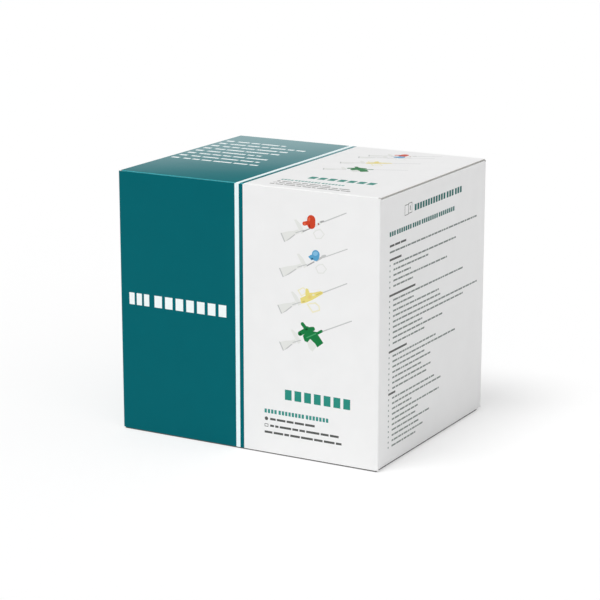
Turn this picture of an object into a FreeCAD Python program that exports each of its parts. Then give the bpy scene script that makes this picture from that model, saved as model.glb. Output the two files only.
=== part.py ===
# Folding carton with a tuck lid, packed with fifty sealed cannula packs.
# One sheet of folding boxboard makes the walls, the glued bottom, the dust flaps and the lid.
# Millimetres. The origin is on the floor under the middle of the carton, the front faces -Y and +Z is up.
import FreeCAD, Part
import math
import os

from FreeCAD import Vector

# Sealed pack: a paper-faced flange with a deep dome over the hub end and a shallow one over the needle end
PACK_WIDTH = 32.9
PACK_LENGTH = 132.6
HEAD_DEPTH = 22.0
TAIL_DEPTH = 7.9
TAIL_WIDTH = 15.0
FLANGE = 0.5
SIDE_SEAL = 3.4
TAIL_SEAL = 5.0
PEEL_SEAL = 11.0
NECK_LENGTH = 34.0
DOME_DRAFT = 1.6
DOME_CORNER = 4.0

# How the packs are stacked: pairs nest dome to dome and head to tail
PACKS_ACROSS = 5
PAIRS_HIGH = 5
STACK_GAP = 0.1
HEADROOM = 0.2

# Board, its folds and the clearance between what moves or fits
BOARD = 0.6
FOLD_INSIDE = 0.4
GAP = 0.3
FLAP_MARGIN = 0.5

# Lid and tuck flap
LID_INSET = 0.5
FRONT_DROP = 0.2
TUCK_DEPTH = 22.0
TUCK_INSET = 0.5
TUCK_TAPER = 3.0
TUCK_CORNER = 9.0
LOCK_SLIT = 7.0
LOCK_SLIT_WIDTH = 0.5

# Dust flaps
DUST_LENGTH = 50.0
DUST_SHOULDER = 12.0
DUST_TAPER = 5.0
DUST_CORNER = 6.0

# Glue flap, inside the left wall at the rear corner
GLUE_LENGTH = 15.0
GLUE_TAPER = 4.0
SEAM_STEP = 0.3

# Bottom flaps, glued in three layers
INNER_SHORTFALL = 42.0
MINOR_GAP = 26.0
BOTTOM_TAPER = 2.0
BOTTOM_CORNER = 5.0
OUTER_CORNER = 2.5

# A rounded corner takes at most this share of the shorter side beside it
CORNER_SHARE = 0.45

X = Vector(1, 0, 0)
Y = Vector(0, 1, 0)
Z = Vector(0, 0, 1)

# The carton is cut to fit its load
CREASE = FOLD_INSIDE + BOARD
PAIR_HEIGHT = HEAD_DEPTH + TAIL_DEPTH + 2 * STACK_GAP
LOAD_FLOOR = 3 * BOARD
DUST_TOP = LOAD_FLOOR + PAIRS_HIGH * PAIR_HEIGHT + HEADROOM + BOARD
HEIGHT = DUST_TOP + GAP + BOARD
WIDTH = PACKS_ACROSS * PACK_WIDTH + (PACKS_ACROSS + 1) * GAP + 3 * BOARD

# The lid turns about its outer face at the rear fold. The tip of its tuck flap swings on TUCK_REACH,
# which passes the front wall by GAP, and leans in to stand GAP from the packs.
TUCK_RUN = PACK_LENGTH + 2 * GAP + 2 * BOARD - CREASE
TUCK_REACH = math.hypot(TUCK_RUN, TUCK_DEPTH)
DEPTH = CREASE + TUCK_REACH + GAP + BOARD

RIGHT = WIDTH / 2
REAR = DEPTH / 2
HINGE_Y = REAR - CREASE
LID_FOLD_Y = HINGE_Y - TUCK_REACH + CREASE

# Lean of the tuck flap and its length, from the line through its tip that touches the fold
TIP_BACK = TUCK_REACH - TUCK_RUN - CREASE
TIP_DOWN = TUCK_DEPTH - CREASE
TUCK_LEAN = math.atan2(TIP_BACK, TIP_DOWN) + math.asin(CREASE / math.hypot(TIP_BACK, TIP_DOWN))
TUCK_LENGTH = math.sqrt(TIP_BACK ** 2 + TIP_DOWN ** 2 - CREASE ** 2)
TUCK_HALF = RIGHT - CREASE - GAP - TUCK_INSET

# Where the walls start and stop: each layer of the bottom lies one board above the last
FRONT_LOW = CREASE
REAR_LOW = BOARD + CREASE
SIDE_LOW = 2 * BOARD + CREASE
FRONT_TOP = HEIGHT - FRONT_DROP
SIDE_TOP = DUST_TOP - CREASE
REAR_TOP = HEIGHT - CREASE
SEAM_X = -RIGHT + BOARD + CREASE

# The tuck flap sweeps past the dust flaps, which stop short of it
TUCK_SWEEP = TUCK_RUN * math.cos(TUCK_LEAN) + TUCK_DEPTH * math.sin(TUCK_LEAN) - BOARD
DUST_FRONT = HINGE_Y - TUCK_SWEEP + GAP


def rounded_face(corners, origin, along, across):
    """Flat face through corners (u, v, radius), each radius limited by the sides it lies between."""
    points = [origin + along * u + across * v for u, v, _ in corners]
    starts = []
    ends = []
    edges = []
    for index, point in enumerate(points):
        back = points[index - 1] - point
        ahead = points[(index + 1) % len(points)] - point
        half_angle = back.getAngle(ahead) / 2
        limit = CORNER_SHARE * min(back.Length, ahead.Length)
        trim = min(corners[index][2] / math.tan(half_angle), limit)
        back.normalize()
        ahead.normalize()
        starts.append(point + back * trim)
        ends.append(point + ahead * trim)
        if trim > 0:
            radius = trim * math.tan(half_angle)
            middle = (back + ahead).normalize() * (radius / math.sin(half_angle) - radius)
            edges.append(Part.Arc(starts[-1], point + middle, ends[-1]).toShape())
    for index, end in enumerate(ends):
        edges.append(Part.makeLine(end, starts[(index + 1) % len(starts)]))
    return Part.Face(Part.Wire(Part.__sortEdges__(edges)))


def panel(corners, origin, along, across, inward):
    """Flat panel of board whose outer face is drawn by corners."""
    return rounded_face(corners, origin, along, across).extrude(inward * BOARD)


def wall(origin, along, left, right, low, top, inward):
    """Upright rectangle of board."""
    corners = [(left, low, 0), (right, low, 0), (right, top, 0), (left, top, 0)]
    return panel(corners, origin, along, Z, inward)


def fold(start, end, run, inward, angle=90):
    """Board bent at a crease: it arrives along run and turns through angle towards inward."""
    edge = Part.makePolygon([start, end, end + inward * BOARD, start + inward * BOARD, start])
    return Part.Face(edge).revolve(start + inward * CREASE, run.cross(inward), angle)


def upright_fold(x, y, low, top, run, inward):
    """Fold between two walls, from height low to height top."""
    return fold(Vector(x, y, low), Vector(x, y, top), run, inward)


def flap(origin, along, run, inward, corners, angle=90):
    """A fold, and beyond it a flap. The first and last corner of the outline lie on the fold."""
    start = origin + along * corners[0][0]
    end = origin + along * corners[-1][0]
    turn = FreeCAD.Rotation(run.cross(inward), angle)
    face_in = turn.multVec(inward)
    root = origin + inward * CREASE - face_in * CREASE
    bent = fold(start, end, run, inward, angle)
    return bent.fuse(panel(corners, root, along, turn.multVec(run), face_in))


def tapered(half, length, taper, radius):
    """Outline of a plain flap that narrows towards its rounded free end."""
    return [(-half, 0, 0), (-half + taper, length, radius), (half - taper, length, radius), (half, 0, 0)]


def walls():
    """Four walls and the folds between them, open at the rear left seam."""
    front = wall(Vector(0, -REAR, 0), X, -RIGHT + CREASE, RIGHT - CREASE, FRONT_LOW, FRONT_TOP, Y)
    rear = wall(Vector(0, REAR, 0), X, SEAM_X, RIGHT - CREASE, REAR_LOW, REAR_TOP, -Y)
    right = wall(Vector(RIGHT, 0, 0), Y, -HINGE_Y, HINGE_Y, SIDE_LOW, SIDE_TOP, -X)
    left = wall(Vector(-RIGHT, 0, 0), Y, -HINGE_Y, REAR - SEAM_STEP, SIDE_LOW, SIDE_TOP, X)
    front_right = upright_fold(RIGHT - CREASE, -REAR, FRONT_LOW, FRONT_TOP, X, Y)
    front_left = upright_fold(-RIGHT + CREASE, -REAR, FRONT_LOW, FRONT_TOP, -X, Y)
    rear_right = upright_fold(RIGHT - CREASE, REAR, REAR_LOW, REAR_TOP, X, -Y)
    return [front, rear, right, left, front_right, front_left, rear_right]


def glue_flap():
    """Flap of the rear wall, glued flat inside the left wall."""
    corners = [
        (SIDE_LOW, 0, 0),
        (SIDE_LOW + GLUE_TAPER, GLUE_LENGTH, 0),
        (SIDE_TOP - GLUE_TAPER, GLUE_LENGTH, 0),
        (SIDE_TOP, 0, 0),
    ]
    return flap(Vector(SEAM_X, REAR, 0), Z, -X, -Y, corners)


def bottom():
    """Outer flap from the front, inner flap from the rear and two minor flaps from the sides."""
    major_half = RIGHT - CREASE - FLAP_MARGIN
    minor_half = HINGE_Y - FLAP_MARGIN
    reach = DEPTH - CREASE - BOARD - FLAP_MARGIN
    outer = tapered(major_half, reach, 0, OUTER_CORNER)
    inner = tapered(major_half, reach - INNER_SHORTFALL, BOTTOM_TAPER, BOTTOM_CORNER)
    minor = tapered(minor_half, RIGHT - CREASE - MINOR_GAP / 2, BOTTOM_TAPER, BOTTOM_CORNER)
    return [
        flap(Vector(0, -REAR, FRONT_LOW), X, -Z, Y, outer),
        flap(Vector(0, REAR, REAR_LOW), X, -Z, -Y, inner),
        flap(Vector(RIGHT, 0, SIDE_LOW), Y, -Z, -X, minor),
        flap(Vector(-RIGHT, 0, SIDE_LOW), Y, -Z, X, minor),
    ]


def dust_flaps():
    """Two flaps folded in from the side walls, cut back at the front so that the tuck flap clears them."""
    corners = [
        (-HINGE_Y, 0, 0),
        (-HINGE_Y, TUCK_INSET, 0),
        (DUST_FRONT, TUCK_INSET, 0),
        (DUST_FRONT, DUST_SHOULDER, DUST_CORNER),
        (DUST_FRONT + DUST_TAPER, DUST_LENGTH, DUST_CORNER),
        (HINGE_Y - DUST_TAPER, DUST_LENGTH, DUST_CORNER),
        (HINGE_Y - FLAP_MARGIN, DUST_SHOULDER, DUST_CORNER),
        (HINGE_Y - FLAP_MARGIN, 0, 0),
    ]
    right = flap(Vector(RIGHT, 0, SIDE_TOP), Y, Z, -X, corners)
    left = flap(Vector(-RIGHT, 0, SIDE_TOP), Y, Z, X, corners)
    return [right, left]


def carton():
    """Everything of the sheet but the lid, glued up into one solid."""
    lid_crease = fold(Vector(SEAM_X, REAR, REAR_TOP), Vector(RIGHT - CREASE, REAR, REAR_TOP), Z, -Y)
    sheet = walls() + [glue_flap(), lid_crease] + bottom() + dust_flaps()
    return sheet[0].multiFuse(sheet[1:]).removeSplitter()


def lid():
    """Lid panel and tuck flap, with a lock slit cut in from each end of the fold between them."""
    half = RIGHT - LID_INSET
    slit_half = TUCK_HALF - LOCK_SLIT
    angle = 90 + math.degrees(TUCK_LEAN)
    top_corners = [(-half, HINGE_Y, 0), (half, HINGE_Y, 0), (half, LID_FOLD_Y, 0), (-half, LID_FOLD_Y, 0)]
    tuck_corners = [
        (-slit_half, 0, 0),
        (-slit_half, LOCK_SLIT_WIDTH, 0),
        (-TUCK_HALF, LOCK_SLIT_WIDTH, 0),
        (-TUCK_HALF + TUCK_TAPER, TUCK_LENGTH, TUCK_CORNER),
        (TUCK_HALF - TUCK_TAPER, TUCK_LENGTH, TUCK_CORNER),
        (TUCK_HALF, LOCK_SLIT_WIDTH, 0),
        (slit_half, LOCK_SLIT_WIDTH, 0),
        (slit_half, 0, 0),
    ]
    top = panel(top_corners, Vector(0, 0, HEIGHT), X, Y, -Z)
    front_fold = Vector(0, LID_FOLD_Y, HEIGHT)
    crease = fold(front_fold - X * TUCK_HALF, front_fold + X * TUCK_HALF, -Y, -Z, angle)
    tuck = flap(front_fold, X, -Y, -Z, tuck_corners, angle)
    return top.multiFuse([crease, tuck]).removeSplitter()


def drawn_in(points, inset):
    """The same outline, which runs anticlockwise, with every side moved inward by inset."""
    moved = []
    for index, point in enumerate(points):
        arriving = Z.cross((point - points[index - 1]).normalize())
        leaving = Z.cross((points[(index + 1) % len(points)] - point).normalize())
        moved.append(point + (arriving + leaving) * (inset / (1 + arriving.dot(leaving))))
    return moved


def flat_face(points):
    """Flat face with straight sides."""
    return Part.Face(Part.makePolygon(points + points[:1]))


def dome():
    """Drafted dome, wide and deep over the hub end, narrow and shallow over the needle end."""
    head_half = PACK_WIDTH / 2 - SIDE_SEAL
    tail_half = TAIL_WIDTH / 2
    head_end = PACK_LENGTH / 2 - PEEL_SEAL
    tail_end = -PACK_LENGTH / 2 + TAIL_SEAL
    neck = NECK_LENGTH / 2
    right_side = [(tail_half, tail_end), (tail_half, -neck), (head_half, neck), (head_half, head_end)]
    outline = right_side + [(-x, y) for x, y in reversed(right_side)]
    mouth = [Vector(x, y, 0) for x, y in outline]
    crown = [point - Z * HEAD_DEPTH for point in drawn_in(mouth, DOME_DRAFT)]
    faces = [flat_face(mouth), flat_face(crown)]
    for index in range(len(mouth)):
        faces.append(flat_face([mouth[index - 1], mouth[index], crown[index], crown[index - 1]]))
    block = Part.Solid(Part.Shell(faces))
    uprights = [edge for edge in block.Edges if edge.BoundBox.ZLength > 0]
    head_corners = [edge for edge in uprights if edge.CenterOfMass.y > neck + DOME_DRAFT]
    block = block.makeFillet(DOME_CORNER, head_corners)
    side = [
        (tail_end, 0),
        (head_end, 0),
        (head_end, -HEAD_DEPTH),
        (neck, -HEAD_DEPTH),
        (-neck, -TAIL_DEPTH),
        (tail_end, -TAIL_DEPTH),
    ]
    depths = flat_face([Vector(-head_half, y, z) for y, z in side]).extrude(X * (2 * head_half))
    return block.common(depths)


def pack():
    """One sealed pack, paper face up at z = 0, its hub end towards +Y."""
    corner = Vector(-PACK_WIDTH / 2, -PACK_LENGTH / 2, -FLANGE)
    flange = Part.makeBox(PACK_WIDTH, PACK_LENGTH, FLANGE, corner)
    return flange.fuse(dome()).removeSplitter()


def stacked_packs():
    """Every pack by name, row by row from the left and layer by layer from the floor."""
    upright = pack()
    upturned = upright.copy()
    upturned.rotate(Vector(), X, 180)
    first_x = -RIGHT + 2 * BOARD + GAP + PACK_WIDTH / 2
    middle_y = REAR - BOARD - GAP - PACK_LENGTH / 2
    packs = {}
    for row in range(PACKS_ACROSS):
        x = first_x + row * (PACK_WIDTH + GAP)
        for pair in range(PAIRS_HIGH):
            low = LOAD_FLOOR + STACK_GAP + pair * PAIR_HEIGHT
            high = low + PAIR_HEIGHT - STACK_GAP
            packs[f"pack_{row + 1}_{2 * pair + 1}"] = upturned.translated(Vector(x, middle_y, low))
            packs[f"pack_{row + 1}_{2 * pair + 2}"] = upright.translated(Vector(x, middle_y, high))
    return packs


os.makedirs("parts", exist_ok=True)
nodes = {"carton": carton(), "lid": lid()}
nodes.update(stacked_packs())
for name, shape in nodes.items():
    shape.exportStep(f"parts/{name}.step")
print(f"outside {WIDTH:.2f} x {DEPTH:.2f} x {HEIGHT:.2f} mm, {len(nodes)} nodes")
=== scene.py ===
# Looks of the folding carton: print, board, sealed packs, floor, light and camera.
# Metres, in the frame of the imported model. The print is laid out in millimetres on each face.
import math
import random

import bmesh
import bpy
from mathutils import Matrix, Vector
from mathutils.geometry import delaunay_2d_cdt

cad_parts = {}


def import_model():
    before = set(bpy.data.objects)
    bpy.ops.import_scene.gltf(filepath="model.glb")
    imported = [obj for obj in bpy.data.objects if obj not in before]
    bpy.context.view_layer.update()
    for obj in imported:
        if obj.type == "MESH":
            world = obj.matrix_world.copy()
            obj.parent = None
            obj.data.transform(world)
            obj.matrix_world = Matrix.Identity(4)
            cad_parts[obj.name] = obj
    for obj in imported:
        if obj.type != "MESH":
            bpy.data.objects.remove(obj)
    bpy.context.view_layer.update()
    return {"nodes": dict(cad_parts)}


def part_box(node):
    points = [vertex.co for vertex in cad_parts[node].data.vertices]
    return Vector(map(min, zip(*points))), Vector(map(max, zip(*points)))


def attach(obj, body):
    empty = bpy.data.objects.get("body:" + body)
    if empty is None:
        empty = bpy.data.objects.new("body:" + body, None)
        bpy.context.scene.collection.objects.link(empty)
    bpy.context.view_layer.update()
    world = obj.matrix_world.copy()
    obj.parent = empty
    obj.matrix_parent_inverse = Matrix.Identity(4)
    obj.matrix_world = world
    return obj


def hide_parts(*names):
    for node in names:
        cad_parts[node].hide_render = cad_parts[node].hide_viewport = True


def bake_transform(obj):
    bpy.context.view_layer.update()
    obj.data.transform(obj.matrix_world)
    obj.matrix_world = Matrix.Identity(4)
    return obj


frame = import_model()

MM = 0.001

# Planes that the print lies on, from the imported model
CARTON_LOW, CARTON_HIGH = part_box("carton")
_, LID_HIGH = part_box("lid")
LEFT, FRONT = CARTON_LOW.x, CARTON_LOW.y
RIGHT, REAR = CARTON_HIGH.x, CARTON_HIGH.y
TOP = LID_HIGH.z

# Board of the solids: its thickness, the outer radius of its folds, the lid's hinge and the walls' tops
BOARD = 0.6 * MM
CREASE = 1.0 * MM
HINGE_Y = REAR - CREASE
REAR_WALL_TOP = TOP - CREASE
FRONT_WALL_TOP = TOP - 0.2 * MM

# Depths under the carton's outside that hold the outer sides of the folds, the dust flaps with their folds,
# and the front wall with the tuck fold
FOLD_DEPTH = 0.35 * MM
FLAP_DEPTH = 3.0 * MM
FRONT_DEPTH = 2.0 * MM

# Height of the folds and edges at the floor that are painted dark as a contact shadow
FLOOR_SHADE_HEIGHT = 0.8 * MM

# How far faces may lie off one plane and steps of a fold off its radius, and the cosine between directions
# that count as one
SAME_PLANE = 0.01 * MM
SAME_RADIUS = 0.05 * MM
ALIGNED = 0.999

# Slack in metres when a plane cuts the board and when corners are joined, and in millimetres between shapes
CUT_SLACK = 1e-7
JOIN_SLACK = 1e-6
SHAPE_SLACK = 1e-5

# Folds turn in steps smaller than FOLD_STEP. Faces in SAME_DIRECTION are a flat side if they have FLAT_AREA
# together. Normals are rounded over bends smaller than SMOOTH_ANGLE.
FOLD_STEP = math.radians(14)
SAME_DIRECTION = math.radians(1)
SMOOTH_ANGLE = math.radians(35)
FLAT_AREA = 60 * MM ** 2

# Fields of the print, measured from the left edge of the front, and how far they run on over hidden flaps
STRIPE_START = 77.4
STRIPE_END = 80.1
BORDER_END = 82.6
BLEED = 4.0

# Gap between the words of small text, in heights of the text
WORD_GAP = 0.6

# Camera, fitted to the seven corners of the carton that the photograph shows. Lens and sensor are in
# millimetres, and the distance and the shares of the aim in heights of the carton.
LENS = 125.5
SENSOR = 36.0
AZIMUTH = math.radians(29.20)
ELEVATION = math.radians(14.14)
DISTANCE = 8.0
AIM_RIGHT = -0.019
AIM_UP = -0.026


def srgb(red, green, blue):
    """Linear colour of an sRGB colour given from 0 to 255."""
    linear = []
    for value in (red, green, blue):
        share = value / 255
        linear.append(share / 12.92 if share <= 0.04045 else ((share + 0.055) / 1.055) ** 2.4)
    return (*linear, 1.0)


# Inks and the bare faces of the board, in the order of the material slots
INKS = {
    "white": srgb(238, 238, 238),
    "teal": srgb(0, 98, 107),
    "stripe": srgb(232, 246, 248),
    "coated": srgb(235, 234, 230),
    "back": srgb(186, 177, 163),
    "edge": srgb(198, 197, 193),
    # Dark bare board for the folds at the floor: a painted contact shadow
    "painted_floor_shade": srgb(84, 84, 82),
    "lettering": srgb(240, 248, 248),
    "word_teal": srgb(46, 140, 126),
    "line_teal": srgb(58, 143, 135),
    "heading_teal": srgb(34, 104, 100),
    "dark": srgb(88, 90, 88),
    "small": srgb(122, 131, 128),
    "red": srgb(204, 70, 44),
    "red_shadow": srgb(150, 46, 34),
    "red_light": srgb(226, 104, 72),
    "blue": srgb(88, 160, 202),
    "blue_shadow": srgb(40, 104, 138),
    "blue_light": srgb(132, 188, 222),
    "yellow": srgb(229, 215, 130),
    "yellow_shadow": srgb(208, 191, 106),
    "yellow_light": srgb(234, 229, 198),
    "orange": srgb(228, 203, 122),
    "green": srgb(28, 122, 66),
    "green_shadow": srgb(12, 74, 38),
    "green_light": srgb(70, 160, 104),
    "clear": srgb(226, 227, 224),
    "grey": srgb(193, 194, 194),
    "shade": srgb(158, 159, 159),
}
SLOTS = list(INKS)

# The lid's teal field is painted a little paler than the walls': the same ink, lightened as a painted
# highlight of the light on the top
PAINTED_LIT_TEAL = srgb(2, 119, 126)

# Entries of INKS that are bare board. The dark one for the floor is painted shade, a painted contact shadow.
BARE = ("back", "edge", "painted_floor_shade")

# Roughness of the bare coating, and of the varnish on the walls and on the lid's teal field
COATING_ROUGHNESS = 0.42
WALL_ROUGHNESS = 0.3
LID_ROUGHNESS = 0.03

# Depth of the sheet's long waves and of its fibre
WAVE_DEPTH = 0.12 * MM
FIBRE_DEPTH = 0.004 * MM


# Node helpers

def node(tree, kind, **settings):
    """A new shader node with its attributes and, for names in capitals with _ for a space, its inputs set."""
    made = tree.nodes.new(kind)
    for name, value in settings.items():
        if name[0].isupper():
            made.inputs[name.replace("_", " ")].default_value = value
        else:
            setattr(made, name, value)
    return made


def new_material(name):
    """A node material with its Principled shader: (material, tree, shader)."""
    material = bpy.data.materials.new(name)
    material.use_nodes = True
    tree = material.node_tree
    return material, tree, tree.nodes["Principled BSDF"]


def noise(tree, place, wavelength, detail=2.0):
    """Noise whose features are about wavelength metres across."""
    made = node(tree, "ShaderNodeTexNoise", Scale=1 / wavelength, Detail=detail)
    tree.links.new(place, made.inputs["Vector"])
    return made.outputs["Fac"]


def ranged(tree, value, low, high, start=0.3, end=0.7):
    """Value between start and end, mapped to low and high."""
    made = node(tree, "ShaderNodeMapRange", From_Min=start, From_Max=end, To_Min=low, To_Max=high)
    tree.links.new(value, made.inputs["Value"])
    return made.outputs["Result"]


def combined(tree, operation, first, second):
    """Two values put through a maths operation, the second a socket or a plain number."""
    made = node(tree, "ShaderNodeMath", operation=operation)
    tree.links.new(first, made.inputs[0])
    if isinstance(second, float):
        made.inputs[1].default_value = second
    else:
        tree.links.new(second, made.inputs[1])
    return made.outputs["Value"]


def blended(tree, share, first, second):
    """Colour between two plain colours or sockets."""
    made = node(tree, "ShaderNodeMix", data_type="RGBA")
    tree.links.new(share, made.inputs["Factor"])
    for socket, colour in ((made.inputs[6], first), (made.inputs[7], second)):
        if isinstance(colour, tuple):
            socket.default_value = colour
        else:
            tree.links.new(colour, socket)
    return made.outputs[2]


def relief(tree, layers):
    """Bumps stacked on each other, each layer a (height, depth in metres)."""
    normal = None
    for height, depth in layers:
        made = node(tree, "ShaderNodeBump", Distance=depth)
        tree.links.new(height, made.inputs["Height"])
        if normal:
            tree.links.new(normal, made.inputs["Normal"])
        normal = made.outputs["Normal"]
    return normal


def toned(colour, factor, pale=0.0):
    """The same colour, lighter or darker, with a share of white added."""
    return (*[min(1.0, value * factor + pale) for value in colour[:3]], 1.0)


# Board materials

def printed_material(name, colour, roughness, mirror=0.04, waves=1.0):
    """Ink under a varnish on coated board, paler where the board is folded: partly stretched ink, partly a
    painted highlight.
    """
    material, tree, shader = new_material(name)
    place = node(tree, "ShaderNodeTexCoord").outputs["Object"]
    mottle = noise(tree, place, 14 * MM, 2)
    fibre = noise(tree, place, 0.5 * MM, 3)
    waviness = noise(tree, place, 38 * MM, 1)
    rub = noise(tree, place, 1.6 * MM, 5)
    ink = blended(tree, ranged(tree, mottle, 0, 1, 0.2, 0.8), toned(colour, 0.985), toned(colour, 1.015))
    fold = node(tree, "ShaderNodeAttribute", attribute_name="fold")
    fold_wear_and_highlight = combined(tree, "MULTIPLY", fold.outputs["Fac"], ranged(tree, rub, 0.35, 0.75))
    # Paler ink on the folds: partly stretched ink, partly a painted highlight
    stretched_and_lit_ink = toned(colour, 2.4, 0.1)
    tree.links.new(blended(tree, fold_wear_and_highlight, ink, stretched_and_lit_ink), shader.inputs["Base Color"])
    shader.inputs["Roughness"].default_value = roughness
    shader.inputs["Specular IOR Level"].default_value = mirror
    layers = [(waviness, WAVE_DEPTH * waves), (fibre, FIBRE_DEPTH * waves)]
    tree.links.new(relief(tree, layers), shader.inputs["Normal"])
    return material


def bare_material(name, colour):
    """Unprinted board: matt, with short darker and paler fibres."""
    material, tree, shader = new_material(name)
    place = node(tree, "ShaderNodeTexCoord").outputs["Object"]
    stretch = node(tree, "ShaderNodeMapping", Scale=(1, 1, 0.35))
    tree.links.new(place, stretch.inputs["Vector"])
    fibre = noise(tree, stretch.outputs["Vector"], 0.7 * MM, 4)
    cloud = noise(tree, place, 6 * MM, 3)
    flecks = ranged(tree, noise(tree, stretch.outputs["Vector"], 1.3 * MM, 2), 0, 1, 0.62, 0.72)
    pulp = blended(tree, ranged(tree, fibre, 0, 1), toned(colour, 0.93), toned(colour, 1.06))
    pulp = blended(tree, ranged(tree, cloud, 0, 0.3), pulp, toned(colour, 0.94))
    tree.links.new(blended(tree, flecks, pulp, toned(colour, 0.72)), shader.inputs["Base Color"])
    shader.inputs["Roughness"].default_value = 0.86
    shader.inputs["Specular IOR Level"].default_value = 0.2
    tree.links.new(relief(tree, [(fibre, 0.012 * MM)]), shader.inputs["Normal"])
    return material


def board_materials():
    """One material for each ink and bare face, in the order of SLOTS."""
    made = []
    for ink, colour in INKS.items():
        if ink in BARE:
            made.append(bare_material(f"board_{ink}", colour))
        else:
            roughness = COATING_ROUGHNESS if ink == "coated" else WALL_ROUGHNESS
            made.append(printed_material(f"print_{ink}", colour, roughness))
    return made


MATERIALS = board_materials()


# Print layout. A shape is an ink and its outline on a face, in millimetres from the face's
# left and top edges. Later shapes lie on earlier ones.

def box(ink, left, top, width, height):
    """Upright rectangle."""
    return ink, [(left, top), (left + width, top), (left + width, top + height), (left, top + height)]


def disc(ink, x, y, across, high=None, sides=20):
    """Filled circle or upright ellipse about a point."""
    points = []
    for step in range(sides):
        turn = 2 * math.pi * step / sides
        points.append((x + across / 2 * math.cos(turn), y + (high or across) / 2 * math.sin(turn)))
    return ink, points


def framed(ink, ground, left, top, width, height, line):
    """Rectangle drawn as an outline."""
    return [
        box(ink, left, top, width, height),
        box(ground, left + line, top + line, width - 2 * line, height - 2 * line),
    ]


def blocks(ink, left, right, middle, height, counts):
    """A heading as words of plain upright blocks, with one count of blocks for each word."""
    gap = 0.42
    between = 0.8
    units = sum(counts) * (1 + gap) - gap * len(counts) + between * (len(counts) - 1)
    unit = (right - left) / units
    shapes = []
    x = left
    for count in counts:
        for index in range(count):
            shapes.append(box(ink, x, middle - height / 2, unit, height))
            x += unit * (1 + gap)
        x += unit * (between - gap)
    return shapes


def words(ink, left, right, middle, height, draw):
    """A line of small text as bars of the length of words."""
    shapes = []
    x = left
    while x < right - height:
        length = min(draw.uniform(1.6, 6.5) * height, right - x)
        shapes.append(box(ink, x, middle - height / 2, length, height))
        x += length + WORD_GAP * height
    return shapes


# Outlines of the drawn cannulas, in millimetres along the axis from the back end and to its left
NOSE = [(22.0, -1.3), (22.8, 0.2), (25.4, 1.1), (27.9, 1.1), (28.6, -0.1), (25.4, -0.9)]
WING = [(19.2, -3.6), (21.6, -2.6), (24.7, -3.0), (26.0, -6.6), (23.0, -8.3), (19.6, -7.2)]
WING_INSIDE = [(19.9, -4.0), (21.7, -3.2), (24.2, -3.6), (25.3, -6.4), (22.9, -7.7), (20.2, -6.8)]
PORT = [(20.1, 3.3), (22.4, 3.8), (23.0, 1.6), (21.2, 0.7)]
FIN_BODY = [
    (14.6, -1.3), (15.4, 1.7), (19.2, 1.9), (20.5, 4.9), (21.6, 5.6), (22.4, 4.6), (22.3, 2.6),
    (24.7, 1.9), (29.2, 1.3), (30.6, 0.4), (29.9, -0.6), (27.5, -0.9), (22.4, -1.6), (17.5, -1.8),
]
UPPER_WING = [(15.6, 6.4), (19.8, 6.8), (21.3, 4.7), (19.6, 2.6), (16.4, 2.2)]
UPPER_WING_INSIDE = [(16.4, 5.8), (19.5, 6.1), (20.5, 4.6), (19.4, 3.3), (17.0, 2.9)]
LOWER_WING = [(17.8, -2.4), (19.2, -8.4), (24.3, -8.7), (25.2, -6.1), (23.6, -3.4)]
LOWER_WING_INSIDE = [(18.7, -3.2), (19.9, -7.6), (23.9, -7.9), (24.3, -6.0), (23.0, -4.1)]
HOUSING = [
    (15.8, 1.4), (15.6, -1.6), (17.0, -2.9), (19.4, -1.7),
    (25.2, -0.9), (25.4, 0.7), (21.6, 2.6), (18.0, 2.6),
]
GREEN_NOSE = [(24.8, 0.6), (28.3, 1.2), (29.2, 0.4), (29.0, -0.4), (24.8, -0.9)]
GREEN_WING = [(19.4, -1.4), (25.2, -0.7), (26.6, -6.2), (21.9, -7.3), (21.4, -5.0)]
CLEAR_WING = [(17.0, -2.5), (19.4, -1.8), (21.8, -6.6), (18.0, -8.7), (16.5, -6.2)]


def rod(ink, start, end, width, steps=8):
    """Thick line with round ends."""
    direction = math.atan2(end[1] - start[1], end[0] - start[0])
    points = []
    for (x, y), first in ((end, -0.5), (start, 0.5)):
        for step in range(steps + 1):
            turn = direction + math.pi * (first + step / steps)
            points.append((x + width / 2 * math.cos(turn), y + width / 2 * math.sin(turn)))
    return ink, points


def chamber(reach):
    """The clear chamber at the back, reach millimetres long, with its rim, its lower edge and its grip."""
    funnel = [
        (0, -2.7), (-0.2, 2.6), (0.4 * reach, 2.1), (0.75 * reach, 1.1), (reach, 1.1), (reach, -1.1),
        (0.72 * reach, -1.2), (0.34 * reach, -2.4),
    ]
    lower_edge = [
        (0.6, -2.6), (0.34 * reach, -2.4), (0.72 * reach, -1.2), (0.7 * reach, -0.6), (0.34 * reach, -1.7),
    ]
    grip = [(-0.4, 6.8), (0.9, 6.6), (2.4, 3.6), (2.9, 0.5), (2.8, -1.6), (0.9, -1.9), (0.2, 1.0)]
    return [
        *moved([("clear", grip)], reach),
        ("clear", funnel),
        ("grey", lower_edge),
        rod("grey", (0.3, -2.4), (0.1, 2.4), 0.7),
        rod("grey", (0.8 * reach, -0.2), (reach + 3.2, -0.5), 0.5),
    ]


def red_cannula():
    return [
        *chamber(11.4),
        ("clear", WING),
        ("white", WING_INSIDE),
        ("clear", NOSE),
        rod("shade", (13.6, -1.0), (18.4, -0.8), 0.6),
        rod("shade", (26.4, 0.4), (28.2, 0.2), 0.9),
        disc("red_shadow", 24.6, -0.2, 1.0),
        rod("red", (16.2, 2.8), (19.4, 2.4), 2.3),
        rod("red", (20.2, 1.0), (21.3, 3.5), 5.1),
        rod("red_shadow", (18.6, -0.6), (18.9, 1.2), 0.7),
        disc("red_light", 16.4, 2.6, 1.4),
        rod("red_light", (19.9, 3.6), (20.4, 4.4), 1.2),
        rod("grey", (28.2, -0.1), (43.2, 0.0), 0.62),
    ]


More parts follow.
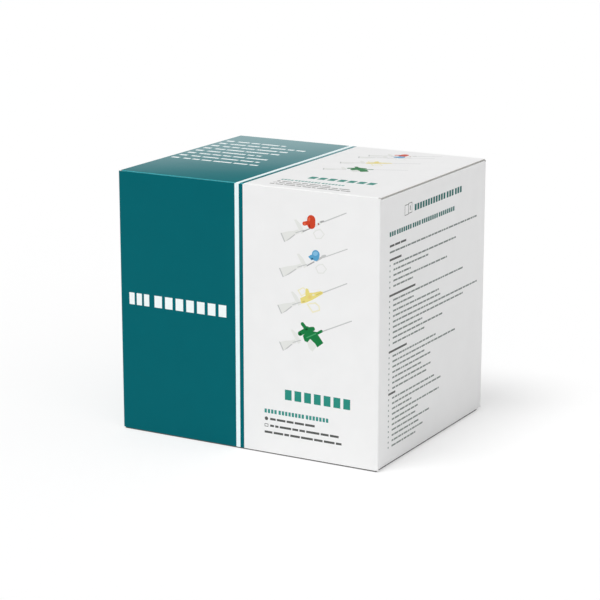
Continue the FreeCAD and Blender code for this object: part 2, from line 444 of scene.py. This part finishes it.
def blue_cannula():
    return [
        *chamber(14.2),
        *moved([("clear", WING), ("white", WING_INSIDE)], 2.6),
        rod("shade", (17.4, -1.2), (22.4, -0.5), 0.7),
        rod("grey", (24.2, -0.3), (28.8, 0.5), 1.2),
        rod("grey", (28.6, 0.6), (30.4, 0.5), 1.5),
        ("blue", PORT),
        rod("blue", (24.4, 1.9), (25.2, 3.1), 4.8),
        disc("blue_shadow", 22.0, 1.4, 1.5, 1.2),
        disc("blue_light", 25.1, 3.5, 3.2, 2.4),
        rod("grey", (31.2, 0.0), (45.0, 0.0), 0.52),
    ]


def yellow_cannula():
    return [
        *chamber(11.6),
        ("yellow_light", UPPER_WING),
        ("white", UPPER_WING_INSIDE),
        ("yellow_light", LOWER_WING),
        ("white", LOWER_WING_INSIDE),
        ("yellow", FIN_BODY),
        disc("yellow_shadow", 16.6, -0.8, 2.2, 0.9),
        disc("orange", 21.4, 0.3, 2.4, 2.0),
        disc("yellow_light", 24.1, 0.8, 1.6, 1.2),
        rod("yellow_shadow", (26.0, 0.2), (29.4, 0.3), 0.6),
        rod("grey", (30.5, 0.0), (46.6, 0.0), 0.6),
    ]


def green_cannula():
    return [
        *chamber(10.2),
        ("clear", CLEAR_WING),
        ("green", GREEN_WING),
        ("green", GREEN_NOSE),
        ("green", HOUSING),
        rod("green_light", (17.8, -0.3), (24.2, 0.1), 0.6),
        rod("green", (19.6, 4.0), (18.4, 7.6), 2.2),
        rod("green", (19.6, 3.8), (14.6, 3.1), 2.7),
        rod("green", (19.6, 3.9), (23.6, 3.1), 2.5),
        disc("green", 19.6, 3.7, 4.4),
        disc("green_shadow", 19.6, 4.1, 1.7, 1.1),
        disc("green_shadow", 14.7, 2.8, 1.4, 1.2),
        rod("grey", (29.0, 0.0), (48.5, 0.0), 0.6),
    ]


def moved(shapes, distance):
    """Shapes further along the axis."""
    return [(ink, [(along + distance, left) for along, left in outline]) for ink, outline in shapes]


def laid(drawing, back, tip):
    """A drawn cannula of true size laid on a face, from its back end towards the tip of its needle."""
    along = Vector((tip[0] - back[0], tip[1] - back[1])).normalized()
    left = Vector((along.y, -along.x))
    shapes = []
    for ink, outline in drawing:
        points = [Vector(back) + along * u + left * v for u, v in outline]
        shapes.append((ink, [tuple(point) for point in points]))
    return shapes


def contact_lines(left, top, pitch, ends, height, draw):
    """Small lines under a heading, the first two with a round and a square mark before them."""
    shapes = framed("dark", "white", left, top + pitch - 0.9, 2.4, 1.8, 0.35)
    shapes.append(disc("dark", left + 1.2, top, 2.2))
    for index, end in enumerate(ends):
        start = left if index == 2 else left + 3.6
        shapes += words("dark", start, end, top + index * pitch, height, draw)
    return shapes


def front_print():
    """Heading, four cannulas and a block of lines."""
    draw = random.Random(3)
    shapes = blocks("lettering", 6.0, 19.6, 74.4, 7.0, [3])
    shapes += blocks("lettering", 23.2, 71.4, 74.4, 7.0, [7])
    shapes += laid(red_cannula(), (108.0, 27.6), (147.5, 10.0))
    shapes += laid(blue_cannula(), (107.0, 47.6), (148.3, 29.8))
    shapes += laid(yellow_cannula(), (105.9, 68.7), (148.2, 49.0))
    shapes += laid(green_cannula(), (107.0, 89.8), (151.2, 69.7))
    shapes += blocks("word_teal", 109.3, 150.7, 117.6, 6.0, [7])
    shapes += blocks("line_teal", 96.1, 137.0, 128.8, 2.4, [4, 8, 7])
    shapes += contact_lines(96.1, 133.3, 3.95, (130.2, 143.6, 145.4), 1.3, draw)
    return shapes


# Small text of the right side: left ends of the headings and of the lines, and the lines' pitch. A section is
# the height of its heading, the heading's right end and the right ends of its lines.
TEXT_LEFT = 11.9
ITEM_LEFT = 16.6
LINE_PITCH = 3.07
SECTIONS = [
    (36.3, 26.2, (96.4, 60.6, 38.7, 85.0, 41.0)),
    (56.4, 44.1, (108.2, 42.1, 74.7, 77.3, 127.0, 107.6, 53.5, 80.4, 56.3)),
    (88.3, 34.2, (71.7, 97.7, 56.8, 65.2, 54.0, 65.2, 61.3)),
    (112.4, 20.5, (70.1, 78.9, 41.0, 76.7, 50.8, 47.5, 64.4, 50.8, 56.5, 46.6)),
]


def side_print():
    """Two headings with a booklet sign, and the sections of small text."""
    draw = random.Random(5)
    shapes = framed("dark", "white", 29.6, 8.9, 4.7, 5.9, 0.35)
    shapes += framed("dark", "white", 34.0, 8.5, 4.7, 5.9, 0.35)
    shapes.append(box("dark", 36.0, 10.2, 0.7, 2.6))
    shapes += blocks("heading_teal", 41.9, 103.2, 12.3, 3.6, [12, 3, 3])
    shapes += blocks("heading_teal", 11.6, 93.8, 22.0, 2.6, [3, 7, 4, 8, 8])
    shapes += words("dark", TEXT_LEFT, 32.0, 28.6, 1.2, draw)
    shapes += words("small", TEXT_LEFT, 124.8, 32.0, 1.0, draw)
    for top, heading_end, ends in SECTIONS:
        shapes.append(box("dark", TEXT_LEFT, top - 0.6, heading_end - TEXT_LEFT, 1.2))
        for index, end in enumerate(ends):
            middle = top + (index + 1) * LINE_PITCH
            shapes.append(box("small", TEXT_LEFT, middle - 0.5, 1.0, 1.0))
            shapes += words("small", ITEM_LEFT, end, middle, 1.0, draw)
    return shapes


# Right ends of the lines on the lid's teal field
TOP_LINE_ENDS = (44.9, 63.4, 59.7, 55.7, 48.6, 58.0, 57.9, 62.1)


def top_print():
    """Eight marked lines on the teal field, and on the white one the front's drawings and lines."""
    draw = random.Random(7)
    shapes = []
    for index, end in enumerate(TOP_LINE_ENDS):
        middle = 22.2 + index * 9.0
        shapes.append(box("lettering", 3.2, middle - 1.5, 5.2, 3.0))
        shapes += words("lettering", 11.4, end, middle, 2.5, draw)
    shapes += laid(red_cannula(), (103.2, 25.2), (143.0, 7.5))
    shapes += laid(blue_cannula(), (100.4, 32.9), (141.7, 15.0))
    shapes += laid(yellow_cannula(), (99.2, 53.6), (141.5, 34.6))
    shapes += laid(green_cannula(), (99.9, 75.6), (143.5, 56.8))
    shapes += blocks("word_teal", 106.0, 147.4, 102.6, 6.0, [7])
    shapes += blocks("line_teal", 94.6, 134.2, 114.6, 2.4, [4, 8, 7])
    shapes += contact_lines(94.8, 120.0, 3.95, (128.6, 142.6, 145.0), 1.3, draw)
    return shapes


# Print cut into the board

def flat_to_front(x, y):
    return Vector((LEFT + x * MM, FRONT, TOP - y * MM))


def flat_to_side(x, y):
    return Vector((RIGHT, FRONT + x * MM, TOP - y * MM))


def flat_to_top(x, y):
    return Vector((LEFT + x * MM, REAR - y * MM, TOP))


def field_ink(x):
    """Ink of the plain fields at a distance from the left edge of the front, in millimetres."""
    if x < STRIPE_START or STRIPE_END < x < BORDER_END:
        return "teal"
    return "stripe" if x < STRIPE_END else "white"


def cut(mesh, faces, point, normal):
    """Splits faces along a plane."""
    parts = dict.fromkeys(faces)
    for face in faces:
        parts.update(dict.fromkeys([*face.edges, *face.verts]))
    bmesh.ops.bisect_plane(mesh, geom=list(parts), dist=CUT_SLACK, plane_co=point, plane_no=normal)


def print_shapes(mesh, to_face, shapes):
    """Cuts the shapes into the flat face that to_face maps onto. Returns the new faces and their inks."""
    origin = to_face(0, 0)
    along = to_face(1, 0) - origin
    down = to_face(0, 1) - origin
    outward = down.cross(along).normalized()
    ground = facing(mesh, outward, origin.dot(outward))
    borders = field_borders(ground)
    points = list(dict.fromkeys(vert for edge in borders for vert in edge.verts))
    number = {vert: index for index, vert in enumerate(points)}
    lines = [tuple(number[vert] for vert in edge.verts) for edge in borders]
    spots = [((v.co - origin).dot(along) / MM ** 2, (v.co - origin).dot(down) / MM ** 2) for v in points]
    flat_points, sources, triangles, covers = triangulated(spots, lines, shapes)
    bmesh.ops.delete(mesh, geom=ground, context="FACES")
    corners = []
    for spot, numbers in zip(flat_points, sources):
        kept = [index for index in numbers if index < len(points) and points[index].is_valid]
        corners.append(points[kept[0]] if kept else mesh.verts.new(to_face(*spot)))
    inks = {}
    for triangle, cover in zip(triangles, covers):
        face = outward_face(mesh, [corners[index] for index in triangle], outward)
        inks[face] = shapes[max(cover)][0] if cover else None
    return inks


def field_borders(ground):
    """Edges round a flat side and along the borders of the fields on it."""
    borders = []
    for edge in dict.fromkeys(edge for face in ground for edge in face.edges):
        inside = [face for face in edge.link_faces if face in ground]
        if len(inside) == 1 or field_changes(edge, inside):
            borders.append(edge)
    return borders


def triangulated(spots, lines, shapes):
    """The plane cut along lines and shapes: points, the spots each comes from, triangles, shapes on each."""
    spots = list(spots)
    outlines = []
    for _, outline in shapes:
        outlines.append(list(range(len(spots), len(spots) + len(outline))))
        spots += outline if turns_forward(outline) else outline[::-1]
    spots = [Vector(spot) for spot in spots]
    points, _, triangles, sources, _, covers = delaunay_2d_cdt(spots, lines, outlines, 1, SHAPE_SLACK)
    return points, sources, triangles, covers


def outward_face(mesh, corners, outward):
    """A new flat face that looks outward."""
    face = mesh.faces.new(corners)
    face.normal_update()
    if face.normal.dot(outward) < 0:
        face.normal_flip()
    face.normal = outward
    return face


def turns_forward(outline):
    """True if an outline goes round from x to y, which the triangulation takes as its inside."""
    pairs = zip(outline, outline[1:] + outline[:1])
    return sum(x * next_y - next_x * y for (x, y), (next_x, next_y) in pairs) > 0


def field_changes(edge, faces):
    """True if the plain fields on the two sides of an edge have different inks."""
    inks = [field_ink((face.calc_center_median().x - LEFT) / MM) for face in faces]
    return abs(edge.verts[0].co.x - edge.verts[1].co.x) < SAME_PLANE and len(set(inks)) > 1


def spread(start, bend=FOLD_STEP):
    """Faces that edges of less than that bend join to the starting ones: by default, a side of the sheet."""
    reached = set(start)
    waiting = list(start)
    while waiting:
        face = waiting.pop()
        for edge in face.edges:
            for other in edge.link_faces:
                if other not in reached and face.normal.angle(other.normal) < bend:
                    reached.add(other)
                    waiting.append(other)
    return reached


def facing(mesh, normal, value):
    """Faces with that outward normal, at that distance along it."""
    found = []
    for face in mesh.faces:
        level = face.calc_center_median().dot(normal)
        if face.normal.dot(normal) > ALIGNED and abs(level - value) < SAME_PLANE:
            found.append(face)
    return found


def flat_faces(mesh):
    """Faces of the flat sides: those in one plane with enough others, and not the steps of a fold."""
    flat = set()
    seen = set()
    for start in mesh.faces:
        if start in seen:
            continue
        plane = spread([start], SAME_DIRECTION)
        seen |= plane
        if sum(face.calc_area() for face in plane) > FLAT_AREA:
            flat |= plane
    return flat


def corner_normals(mesh, flat):
    """Normals that keep flat sides flat up to the folds, and round the folds."""
    normals = []
    for face in mesh.faces:
        for vert in face.verts:
            near = [other for other in vert.link_faces if face.normal.angle(other.normal) < SMOOTH_ANGLE]
            sides = [other for other in near if other in flat]
            if face in flat:
                normals.append(face.normal.copy())
            elif sides:
                normals.append(sides[0].normal.copy())
            else:
                steps = {tuple(round(value, 3) for value in other.normal) for other in near}
                normals.append(sum((Vector(step) for step in steps), Vector()).normalized())
    return normals


def board_piece(name, mesh, printed, back, inks, stretch):
    """A mesh object of board, with its inks, its normals, and how far its folds are painted paler, as
    stretched ink and painted highlight.
    """
    flat = flat_faces(mesh) | set(inks)
    for face in mesh.faces:
        ink = inks.get(face) or plain_ink(face, printed, back)
        face.material_index = SLOTS.index(ink)
        face.smooth = True
    fold = mesh.verts.layers.float.new("fold")
    for vert in mesh.verts:
        vert[fold] = 0.0 if any(face in flat for face in vert.link_faces) else stretch
    normals = corner_normals(mesh, flat)
    data = bpy.data.meshes.new(name)
    mesh.to_mesh(data)
    mesh.free()
    for material in MATERIALS:
        data.materials.append(material)
    data.normals_split_custom_set(normals)
    piece = bpy.data.objects.new(name, data)
    bpy.context.scene.collection.objects.link(piece)
    return piece


def plain_ink(face, printed, back):
    """Ink of a face that no shape covers."""
    middle = face.calc_center_median()
    # Folds and edges at the floor are painted dark as a contact shadow
    if in_painted_floor_shade(middle):
        return "painted_floor_shade"
    if face in printed:
        return outer_ink(middle)
    return "back" if face in back else "edge"


def outer_ink(point):
    """Ink of the sheet's printed side: the fields, or bare coating on hidden flaps past their folds."""
    depth = min(RIGHT - abs(point.x), REAR - abs(point.y), point.z, TOP - point.z)
    past_side_fold = abs(point.x) > RIGHT - CREASE - BLEED * MM
    past_front_fold = point.y < FRONT + FRONT_DEPTH and point.z > TOP - CREASE - BLEED * MM
    if depth > FOLD_DEPTH and not past_side_fold and not past_front_fold:
        return "coated"
    return field_ink((point.x - LEFT) / MM)


def in_painted_floor_shade(point):
    """True on the folds and edges at the floor, painted dark as a contact shadow. The side folds lie one
    board higher.
    """
    across = RIGHT - abs(point.x)
    reach = FLOOR_SHADE_HEIGHT + BOARD if across < CREASE + BOARD else FLOOR_SHADE_HEIGHT
    near_wall = min(across, REAR - abs(point.y)) < CREASE + BOARD
    return near_wall and SAME_PLANE < point.z < reach


def copied_mesh(node_name):
    """A CAD node's mesh, with the corners of its faces joined."""
    mesh = bmesh.new()
    mesh.from_mesh(frame["nodes"][node_name].data)
    bmesh.ops.remove_doubles(mesh, verts=mesh.verts, dist=JOIN_SLACK)
    return mesh


def cut_fields(mesh):
    """Cuts along the borders of the fields, right round the board."""
    for border in (STRIPE_START, STRIPE_END, BORDER_END):
        cut(mesh, list(mesh.faces), Vector((LEFT + border * MM, 0, 0)), Vector((1, 0, 0)))


def take_crease(mesh):
    """Cuts the rear crease off the carton, closes the rear wall's top, and returns the crease."""
    low = REAR_WALL_TOP - SAME_PLANE
    found = []
    for face in mesh.faces:
        if all(vert.co.z > low and vert.co.y > HINGE_Y - SAME_PLANE for vert in face.verts):
            found.append(face)
    crease = bmesh.new()
    made = {}
    for face in found:
        for vert in face.verts:
            if vert not in made:
                made[vert] = crease.verts.new(vert.co)
        crease.faces.new([made[vert] for vert in face.verts])
    bmesh.ops.delete(mesh, geom=found, context="FACES")
    for open_mesh in (mesh, crease):
        rim = [edge for edge in open_mesh.edges if edge.is_boundary]
        bmesh.ops.holes_fill(open_mesh, edges=rim, sides=0)
    bmesh.ops.recalc_face_normals(crease, faces=crease.faces)
    return crease


def printed_carton():
    """Walls, bottom and dust flaps, and the crease that goes with the lid."""
    mesh = copied_mesh("carton")
    crease = take_crease(mesh)
    cut_fields(mesh)
    for side in (-1, 1):
        flap = [face for face in mesh.faces if face.calc_center_median().z > TOP - FLAP_DEPTH]
        cut(mesh, flap, Vector((side * (RIGHT - CREASE - BLEED * MM), 0, 0)), Vector((1, 0, 0)))
    inks = print_shapes(mesh, flat_to_front, front_print())
    inks.update(print_shapes(mesh, flat_to_side, side_print()))
    printed = spread(facing(mesh, Vector((0, -1, 0)), -FRONT))
    printed.update(facing(mesh, Vector((0, 0, 1)), FRONT_WALL_TOP))
    back = spread(facing(mesh, Vector((0, 1, 0)), FRONT + BOARD))
    return board_piece("printed_carton", mesh, printed, back, inks, stretch=0.0), crease


def printed_lid(crease):
    """Lid panel, tuck flap and the rear crease, which goes with the lid."""
    mesh = copied_mesh("lid")
    spare = bpy.data.meshes.new("crease")
    crease.to_mesh(spare)
    crease.free()
    mesh.from_mesh(spare)
    bpy.data.meshes.remove(spare)
    cut_fields(mesh)
    cut(mesh, list(mesh.faces), Vector((0, 0, TOP - CREASE - BLEED * MM)), Vector((0, 0, 1)))
    inks = print_shapes(mesh, flat_to_top, top_print())
    up = Vector((0, 0, 1))
    outer = [face for face in mesh.faces if is_crease(face, CREASE)]
    inner = [face for face in mesh.faces if is_crease(face, CREASE - BOARD)]
    printed = spread(facing(mesh, up, TOP) + outer)
    back = spread(facing(mesh, -up, BOARD - TOP) + inner)
    # The lid's folds are painted paler, partly stretched ink and partly a painted highlight
    return board_piece("printed_lid", mesh, printed, back, inks, stretch=1.0)


def is_crease(face, radius):
    """True if a face is a step of the rear crease at that distance from its axis."""
    middle = face.calc_center_median() - Vector((0, HINGE_Y, TOP - CREASE))
    level = math.hypot(middle.y, middle.z)
    return middle.y > 0 and middle.z > 0 and abs(face.normal.x) < 0.1 and abs(level - radius) < SAME_RADIUS


# Carton and lid in place of the solids

carton, crease_mesh = printed_carton()
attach(carton, "carton")
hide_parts("carton")
lid = printed_lid(crease_mesh)
# The lid's teal field: the walls' ink painted paler, a painted highlight
painted_lit_teal = printed_material("print_painted_lit_teal", PAINTED_LIT_TEAL, LID_ROUGHNESS, mirror=0.085, waves=0.08)
lid.data.materials[SLOTS.index("teal")] = painted_lit_teal
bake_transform(lid)
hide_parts("lid")


# Sealed packs: sizes of a pack and of its seal, the band's place as a share of the length, and the paper
PACK_WIDTH = 33 * MM
PACK_LENGTH = 130 * MM
SEAL = 4.5 * MM
SEAL_PITCH = 0.9 * MM
BAND_MIDDLE = 0.7
BAND_REACH = 0.05
PAPER_LIGHT = srgb(240, 241, 240)
PAPER_DARK = srgb(228, 230, 230)

# How the names of the packs in the top layer end
TOP_LAYER = "_10"


def within(tree, value, middle, reach):
    """1 where a value is no further than reach from the middle, else 0."""
    made = node(tree, "ShaderNodeMath", operation="COMPARE")
    tree.links.new(value, made.inputs[0])
    made.inputs[1].default_value = middle
    made.inputs[2].default_value = reach
    return made.outputs["Value"]


def pack_paper():
    """White medical paper, sealed round its edge in a fine grid, with a plain coloured band across."""
    material, tree, shader = new_material("pack_paper")
    place = node(tree, "ShaderNodeTexCoord")
    share = node(tree, "ShaderNodeSeparateXYZ")
    tree.links.new(place.outputs["Generated"], share.inputs["Vector"])
    fibre = noise(tree, place.outputs["Object"], 0.6 * MM, 4)
    grid = node(tree, "ShaderNodeTexChecker", Scale=1 / SEAL_PITCH)
    tree.links.new(place.outputs["Object"], grid.inputs["Vector"])
    unsealed_across = within(tree, share.outputs["X"], 0.5, 0.5 - SEAL / PACK_WIDTH)
    unsealed_along = within(tree, share.outputs["Y"], 0.5, 0.5 - SEAL / PACK_LENGTH)
    unsealed = combined(tree, "MULTIPLY", unsealed_across, unsealed_along)
    in_band = within(tree, share.outputs["Y"], BAND_MIDDLE, BAND_REACH)
    band = combined(tree, "MULTIPLY", unsealed, in_band)
    paper = blended(tree, ranged(tree, fibre, 0, 1), PAPER_DARK, PAPER_LIGHT)
    pressed = blended(tree, grid.outputs["Fac"], toned(PAPER_DARK, 0.9), paper)
    paper = blended(tree, unsealed, pressed, paper)
    tree.links.new(blended(tree, band, paper, INKS["word_teal"]), shader.inputs["Base Color"])
    shader.inputs["Roughness"].default_value = 0.7
    tree.links.new(relief(tree, [(fibre, 0.01 * MM)]), shader.inputs["Normal"])
    return material


def pack_film():
    """Milky formed film of the packs under the top layer, a little clouded."""
    material, tree, shader = new_material("pack_film")
    cloud = noise(tree, node(tree, "ShaderNodeTexCoord").outputs["Object"], 9 * MM, 3)
    film = blended(tree, ranged(tree, cloud, 0, 1), srgb(214, 219, 221), srgb(226, 229, 231))
    tree.links.new(film, shader.inputs["Base Color"])
    shader.inputs["Roughness"].default_value = 0.35
    tree.links.new(relief(tree, [(cloud, 0.15 * MM)]), shader.inputs["Normal"])
    return material


sealed_paper = pack_paper()
formed_film = pack_film()
for name, pack in frame["nodes"].items():
    if name.startswith("pack_"):
        pack.material_slots[0].material = sealed_paper if name.endswith(TOP_LAYER) else formed_film


# Floor, light and camera: strength of the even light, colour and reach of the floor, and the share of plain
# white in it as the camera sees it
AMBIENT = 0.46
FLOOR_COLOUR = (0.95, 0.95, 0.95, 1)
FLOOR_REACH = 12.0
FLOOR_WHITE = 0.47

# White that gloss sees: it dims to the ceiling's strength between two heights above the horizon, as sines
CEILING = 0.1
DIMMING = (0.1705, 0.1865)


def floor():
    """Pale floor. What looks at it sees it partly lit, which keeps the shadow, and partly plain white."""
    data = bpy.data.meshes.new("floor")
    sides = ((-1, -1), (1, -1), (1, 1), (-1, 1))
    corners = [(x * FLOOR_REACH, y * FLOOR_REACH, 0) for x, y in sides]
    data.from_pydata(corners, [], [(0, 1, 2, 3)])
    made = bpy.data.objects.new("floor", data)
    bpy.context.scene.collection.objects.link(made)
    material, tree, shader = new_material("floor")
    shader.inputs["Base Color"].default_value = FLOOR_COLOUR
    shader.inputs["Roughness"].default_value = 1.0
    shader.inputs["Specular IOR Level"].default_value = 0.0
    white = node(tree, "ShaderNodeEmission", Strength=1.0)
    shown = node(tree, "ShaderNodeMixShader")
    tree.links.new(combined(tree, "MULTIPLY", looked_at(tree), FLOOR_WHITE), shown.inputs["Fac"])
    tree.links.new(shader.outputs["BSDF"], shown.inputs[1])
    tree.links.new(white.outputs["Emission"], shown.inputs[2])
    tree.links.new(shown.outputs["Shader"], tree.nodes["Material Output"].inputs["Surface"])
    data.materials.append(material)


def looked_at(tree):
    """1 for rays from the camera, also by way of a mirror or glass, and 0 for light that falls on things."""
    path = node(tree, "ShaderNodeLightPath").outputs
    straight = combined(tree, "MAXIMUM", path["Is Camera Ray"], path["Is Transmission Ray"])
    return combined(tree, "MAXIMUM", straight, path["Is Glossy Ray"])


def world():
    """Even pale light. The camera sees white, and gloss a white that dims above the horizon."""
    made = bpy.data.worlds.new("studio")
    bpy.context.scene.world = made
    made.use_nodes = True
    tree = made.node_tree
    background = tree.nodes["Background"]
    background.inputs["Color"].default_value = (1, 1, 1, 1)
    background.inputs["Strength"].default_value = AMBIENT
    height = node(tree, "ShaderNodeSeparateXYZ")
    tree.links.new(node(tree, "ShaderNodeTexCoord").outputs["Generated"], height.inputs["Vector"])
    white = node(tree, "ShaderNodeBackground", Color=(1, 1, 1, 1))
    dimmed = ranged(tree, height.outputs["Z"], 1.0, CEILING, *DIMMING)
    by_camera = node(tree, "ShaderNodeLightPath").outputs["Is Camera Ray"]
    tree.links.new(combined(tree, "MAXIMUM", dimmed, by_camera), white.inputs["Strength"])
    shown = node(tree, "ShaderNodeMixShader")
    tree.links.new(looked_at(tree), shown.inputs["Fac"])
    tree.links.new(background.outputs["Background"], shown.inputs[1])
    tree.links.new(white.outputs["Background"], shown.inputs[2])
    tree.links.new(shown.outputs["Shader"], tree.nodes["World Output"].inputs["Surface"])


def soft_light(name, strength, cone, towards):
    """Light from far off, in a cone of that many degrees about a direction."""
    data = bpy.data.lights.new(name, "SUN")
    data.energy = strength
    data.angle = math.radians(cone)
    made = bpy.data.objects.new(name, data)
    made.rotation_euler = Vector(towards).to_track_quat("Z", "Y").to_euler()
    bpy.context.scene.collection.objects.link(made)


def camera():
    """The photograph's camera."""
    height = TOP
    back = Vector((
        math.sin(AZIMUTH) * math.cos(ELEVATION),
        -math.cos(AZIMUTH) * math.cos(ELEVATION),
        math.sin(ELEVATION),
    ))
    right = Vector((math.cos(AZIMUTH), math.sin(AZIMUTH), 0))
    up = back.cross(right)
    aim = Vector((0, 0, height / 2)) + (right * AIM_RIGHT + up * AIM_UP) * height
    data = bpy.data.cameras.new("camera")
    data.lens = LENS
    data.sensor_width = SENSOR
    made = bpy.data.objects.new("camera", data)
    turned = Matrix((right, up, back)).transposed().to_4x4()
    made.matrix_world = Matrix.Translation(aim + back * DISTANCE * height) @ turned
    bpy.context.scene.collection.objects.link(made)
    bpy.context.scene.camera = made


floor()
world()
soft_light("key", strength=1.8, cone=24, towards=(-0.14, -0.37, 1.0))
soft_light("fill", strength=0.42, cone=60, towards=(0.66, -0.55, 0.45))
camera()
bpy.context.scene.view_settings.view_transform = "Standard"
